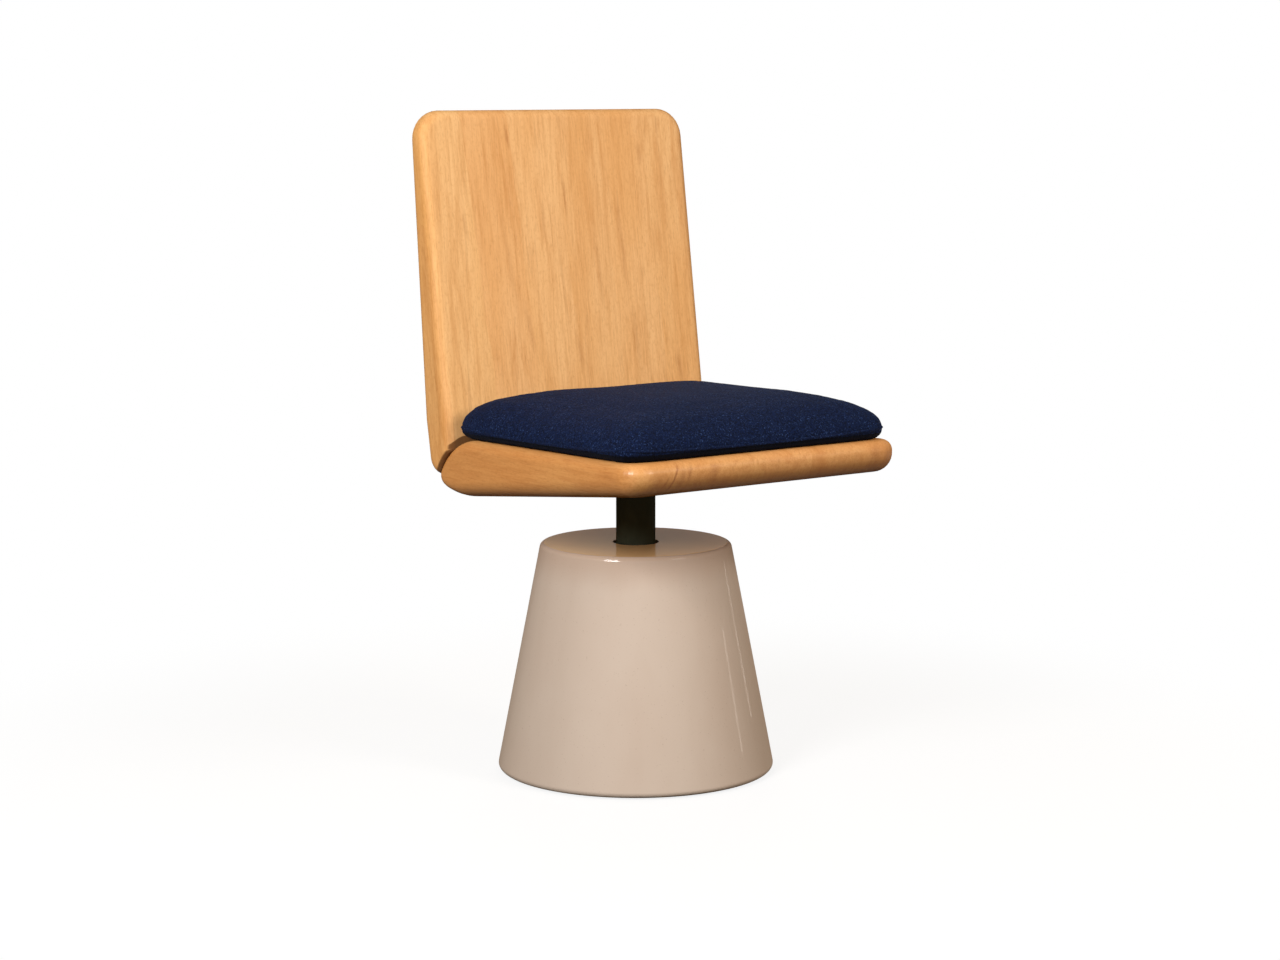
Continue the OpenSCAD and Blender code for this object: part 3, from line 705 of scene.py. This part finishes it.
def startPad():
    # the CAD pad, level, a little smaller and evenly meshed, and its skin as it was
    look = cushionLook
    shape = bmesh.new()
    shape.from_mesh(nodes["cushion_pad"].data)
    bmesh.ops.remove_doubles(shape, verts=shape.verts, dist=look["weld"])
    bmesh.ops.transform(shape, matrix=padFrame.inverted(), verts=shape.verts)
    bmesh.ops.recalc_face_normals(shape, faces=shape.faces)
    cadSkin = BVHTree.FromBMesh(shape)
    startScale = (look["startWide"], look["startWide"], look["startTall"])
    bmesh.ops.scale(shape, vec=startScale, verts=shape.verts)
    data = bpy.data.meshes.new("cushion")
    shape.to_mesh(data)
    shape.free()
    piece = bpy.data.objects.new("cushion", data)
    scene.collection.objects.link(piece)
    remesh = piece.modifiers.new("even", "REMESH")
    remesh.mode = "VOXEL"
    remesh.voxel_size = look["voxel"]
    remesh.use_smooth_shade = True
    applied(piece)
    return piece, cadSkin


def swellCloth(piece):
    look = cushionLook
    held = piece.vertex_groups.new(name="held")
    for vertex in piece.data.vertices:
        outer = max(abs(vertex.co.x) / halfWide, abs(vertex.co.y) / halfDeep)
        fromSeam = abs(vertex.co.z - seamHeightAt(vertex.co, cadSeam))
        if fromSeam < look["seamBand"] and outer > look["seamFrom"]:
            held.add([vertex.index], 1.0, "REPLACE")
    start = [vertex.co.copy() for vertex in piece.data.vertices]
    swell = piece.modifiers.new("swell", "CLOTH")
    swell.settings.quality = look["quality"]
    swell.settings.mass = look["mass"]
    swell.settings.use_pressure = True
    swell.settings.uniform_pressure_force = look["pressure"]
    swell.settings.effector_weights.gravity = 0
    swell.settings.vertex_group_mass = "held"
    swell.point_cache.frame_start = 1
    swell.point_cache.frame_end = look["moments"]
    for moment in range(1, look["moments"] + 1):
        scene.frame_set(moment)
    data = applied(piece)
    scene.frame_set(1)
    most = look["mostSwell"]
    for vertex, before in zip(data.vertices, start):
        move = vertex.co - before
        if move.length > 0:
            vertex.co = before + move * (most * math.tanh(move.length / most) / move.length)


def drawEdge(data, cadSkin, cadLine):
    # the edge is drawn out to the seam again, and the cloth lies on the filling
    look = cushionLook
    drawnLine = seamLine(skinOf(data), cadSeam)
    reach = [wanted.xy.length / found.xy.length for wanted, found in zip(cadLine, drawnLine)]
    for vertex in data.vertices:
        turn = math.atan2(vertex.co.y, vertex.co.x) % math.tau / math.tau * len(reach)
        first = int(turn) % len(reach)
        share = turn - int(turn)
        stretch = reach[first] * (1 - share) + reach[(first + 1) % len(reach)] * share
        outer = min(vertex.co.xy.length / look["drawnFrom"], 1.0)
        vertex.co.xy = vertex.co.xy * (1 + (stretch - 1) * outer)
        vertex.co = vertex.co.lerp(cadSkin.find_nearest(vertex.co)[0], look["settle"])
        vertex.co.z = max(vertex.co.z, 0.0)


def fillEdge(data, cadLine):
    # the filling lifts the seam, most at the corners, and the underside is drawn in beneath it
    look = cushionLook
    edge = nearest([Vector((point.x, point.y, 0)) for point in cadLine])
    for vertex in data.vertices:
        inside = edge.find((vertex.co.x, vertex.co.y, 0))[2]
        near = math.exp(-(inside / look["edgeReach"]) ** 2)
        before = seamHeightAt(vertex.co, cadSeam)
        rise = seamHeightAt(vertex.co, sewnSeam) - before
        if vertex.co.z < before:
            low = vertex.co.z / before
            outward = Vector((vertex.co.x, vertex.co.y, 0)).normalized()
            vertex.co -= outward * (look["tuck"] * cornerShare(vertex.co) * near * (1 - low))
            vertex.co.z += rise * near * low
        else:
            above = vertex.co.z - before
            vertex.co.z += rise * near * max(0.0, 1 - above / look["edgeReach"])
            full = math.exp(-((inside - look["shoulderFrom"]) / look["shoulderReach"]) ** 2)
            rear = 1 + look["rearFull"] * max(0.0, vertex.co.y / halfDeep)
            vertex.co.z += look["shoulder"] * rear * full * min(above / look["shoulderRise"], 1.0)


def sewSeam(data, line):
    # the seam draws the cloth in, with puckers beside it and a little unevenness further in
    look = cushionLook
    seam = nearest(line)
    data.update()
    normals = [vertex.normal.copy() for vertex in data.vertices]
    for vertex, normal in zip(data.vertices, normals):
        if vertex.co.z < look["restsBelow"]:
            continue
        side, _, away = seam.find(vertex.co)
        drawn = look["crease"] * math.exp(-(away / look["creaseReach"]) ** 2)
        ripple = noise.noise(side * look["puckerPitch"]) * math.exp(-(away / look["puckerReach"]) ** 2)
        further = vertex.co * look["unevenPitch"] + Vector(look["unevenShift"])
        swelling = noise.noise(further) * min(away / look["unevenFrom"], 1.0)
        fuzz = noise.noise(vertex.co * look["fuzzPitch"])
        vertex.co += normal * (ripple * look["pucker"] + swelling * look["uneven"]
                               + fuzz * look["fuzz"] - drawn)
        vertex.co.z = max(vertex.co.z, 0.0)


def makeWelt(line):
    # a welt of the same cloth lies in the crease
    look = cushionLook
    path = bpy.data.curves.new("welt", "CURVE")
    path.dimensions = "3D"
    path.bevel_depth = look["welt"]
    path.bevel_resolution = 3
    spline = path.splines.new("POLY")
    spline.points.add(len(line) - 1)
    spline.use_cyclic_u = True
    for point, place in zip(spline.points, line):
        inward = Vector((-place.x, -place.y, 0)).normalized()
        point.co = (*(padFrame @ (place + inward * look["crease"])), 1)
    draft = bpy.data.objects.new("weltPath", path)
    scene.collection.objects.link(draft)
    welt = bpy.data.objects.new("cushionWelt", meshOf(draft))
    bpy.data.objects.remove(draft)
    scene.collection.objects.link(welt)
    return welt


def makeCushion():
    look = cushionLook
    piece, cadSkin = startPad()
    swellCloth(piece)
    cadLine = seamLine(cadSkin, cadSeam)
    drawEdge(piece.data, cadSkin, cadLine)
    fillEdge(piece.data, cadLine)
    finer = piece.modifiers.new("finer", "SUBSURF")
    finer.levels = finer.render_levels = 1
    data = applied(piece)
    line = seamLine(skinOf(data), sewnSeam)
    sewSeam(data, line)
    data.transform(padFrame)
    backY, backZ = look["backAt"]
    for vertex in data.vertices:
        backFace = backY + math.tan(backLean) * (vertex.co.z - backZ)
        vertex.co.y = min(vertex.co.y, backFace - look["clear"])
    for part in (piece, makeWelt(line)):
        shadeSmooth(part.data)
        part.data.materials.clear()
        part.data.materials.append(finishes["wool"])
        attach(part, "cushion")
    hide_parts("cushion_pad")


makeCushion()
print("cushion made")

# Camera: fitted to the photograph's edges
cameraView = {
    "azimuth": 0.641498,                # radians from -Y towards -X
    "distance": 3.396606,
    "height": 0.840446,
    "pitch": 0.141444,
    "pan": 0.0015289,
    "lens": 79.3251,                    # in millimetres, on a sensor 36 mm wide
}
heading = cameraView["azimuth"] + cameraView["pan"]
pitch = cameraView["pitch"]
forward = Vector((math.sin(heading) * math.cos(pitch), math.cos(heading) * math.cos(pitch),
                  -math.sin(pitch)))
camera = bpy.data.objects.new("camera", bpy.data.cameras.new("camera"))
scene.collection.objects.link(camera)
camera.data.lens = cameraView["lens"]
camera.data.sensor_width = 36.0
camera.data.clip_end = 40.0
camera.location = (-cameraView["distance"] * math.sin(cameraView["azimuth"]),
                   -cameraView["distance"] * math.cos(cameraView["azimuth"]), cameraView["height"])
camera.rotation_euler = forward.to_track_quat("-Z", "Y").to_euler()
scene.camera = camera
scene.view_settings.view_transform = "Standard"

# Studio: bearing and rise are in degrees as seen from the chair, the rest in metres and watts
studio = {
    "leftKey": {"bearing": -65, "rise": 26, "away": 2.6, "width": 0.80, "tall": 1.0,
                "power": 59.5, "colour": (1.0, 1.0, 1.0)},
    "rightKey": {"bearing": 17, "rise": 26, "away": 2.6, "width": 0.65, "tall": 0.9,
                 "power": 31, "colour": (1.0, 0.93, 0.86)},
    "rearKey": {"bearing": 143, "rise": 4, "away": 2.6, "width": 1.2, "tall": 0.6,
                "power": 38, "colour": (1.0, 0.96, 0.91)},
    "rightStrip": {"bearing": 83.7, "rise": -12.9, "away": 1.28, "width": 0.055, "tall": 0.26,
                   "power": 0.55, "colour": (1.0, 0.9, 0.8)},
    "backStrip": {"bearing": 61, "rise": -12.4, "away": 1.31, "width": 0.045, "tall": 0.21,
                  "power": 0.20, "colour": (1.0, 0.9, 0.8)},
}
lampAim = Vector((0, 0, 0.42))
for name, lamp in studio.items():
    light = bpy.data.lights.new(name, "AREA")
    light.shape = "RECTANGLE"
    light.size, light.size_y = lamp["width"], lamp["tall"]
    light.energy = lamp["power"]
    light.color = lamp["colour"]
    holder = bpy.data.objects.new(name, light)
    scene.collection.objects.link(holder)
    holder.visible_camera = False
    holder.visible_glossy = name != "rearKey"           # the pedestal's flat top would mirror it
    bearing, rise = math.radians(lamp["bearing"]), math.radians(lamp["rise"])
    towards = Vector((math.sin(bearing) * math.cos(rise), -math.cos(bearing) * math.cos(rise),
                      math.sin(rise)))
    holder.location = lampAim + towards * lamp["away"]
    holder.rotation_euler = (-towards).to_track_quat("-Z", "Y").to_euler()

# white to the camera and in reflections, dim and warm for what lights the chair
roomLook = {"level": 0.155, "tint": (1.0, 0.70, 0.34, 1.0)}
white = {"Color": (1, 1, 1, 1), "Strength": 1.0}
world = bpy.data.worlds.new("studio")
scene.world = world
world.use_nodes = True
air = NodeTree(world.node_tree)
air.tree.nodes.clear()
ambient = air.node("ShaderNodeBackground", None,
                   {"Color": roomLook["tint"], "Strength": roomLook["level"]})
backdrop = air.node("ShaderNodeBackground", None, white)
around = air.node("ShaderNodeMixShader", None, {0: air.seen(), 1: ambient, 2: backdrop})
worldOutput = air.tree.nodes.new("ShaderNodeOutputWorld")
air.tree.links.new(around.socket, worldOutput.inputs[0])

# the floor takes the chair's shadow near it and runs out into the white backdrop
floorLook = {
    "half": 14.0,
    "paint": (0.16, 0.16, 0.16, 1),
    "patch": (0.176, 0.176, 0.176, 1),
    "glow": 0.84,
    "bounce": (0.060, 0.045, 0.030, 1),                 # what it sends up to the chair
    "shade": (0.45, 1.1),                               # the shadow's ground, fading between
}


def floorFinish():
    look = floorLook
    ground = Finish("floor", Roughness=0.9, Specular_IOR_Level=0.1)
    patches = ground.cloud(ground.place(), 3.0) * 0.1
    ground.link(Base_Color=ground.blend(patches, look["paint"], look["patch"]))
    painted = Level(ground, ground.shader.outputs[0])
    glow = ground.node("ShaderNodeEmission", None, {**white, "Strength": look["glow"]})
    near = ground.node("ShaderNodeAddShader", None, {0: painted, 1: glow})
    far = ground.node("ShaderNodeEmission", None, white)
    away = ground.step(ground.vectorMaths("LENGTH", {0: ground.place()}, "Value"), *look["shade"])
    shown = ground.node("ShaderNodeMixShader", None, {0: away, 1: near, 2: far})
    bounce = ground.node("ShaderNodeBsdfDiffuse", None, {"Color": look["bounce"]})
    mixed = ground.node("ShaderNodeMixShader", None, {0: ground.seen(), 1: bounce, 2: shown})
    ground.tree.links.new(mixed.socket, ground.tree.nodes["Material Output"].inputs[0])
    return ground.material


floorShape = bmesh.new()
bmesh.ops.create_grid(floorShape, x_segments=1, y_segments=1, size=floorLook["half"])
floorData = bpy.data.meshes.new("floor")
floorShape.to_mesh(floorData)
floorShape.free()
floorData.materials.append(floorFinish())
floor = bpy.data.objects.new("floor", floorData)
scene.collection.objects.link(floor)
print("studio ready")
